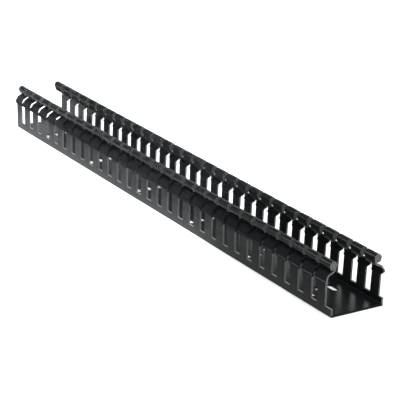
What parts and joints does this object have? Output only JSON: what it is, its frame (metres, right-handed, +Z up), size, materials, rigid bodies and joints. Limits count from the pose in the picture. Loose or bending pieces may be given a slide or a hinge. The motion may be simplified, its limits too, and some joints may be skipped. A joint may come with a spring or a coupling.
{
  "type": "slotted wiring duct",
  "caption": "Straight slotted wiring duct, open at the top: a rigid plastic channel whose side walls are fingers with beaded tops, and holes in its base.",
  "frame": {"origin": "centre of the flat underside", "axes": "+X along the duct, +Y across it, +Z up out of the open top"},
  "size_m": [0.375, 0.0376, 0.03],
  "materials": {
    "duct_plastic": "satin black extruded rigid PVC, paler on the punched edges"
  },
  "bodies": {
    "root": {"duct_body": "duct_plastic"}
  },
  "joints": []
}
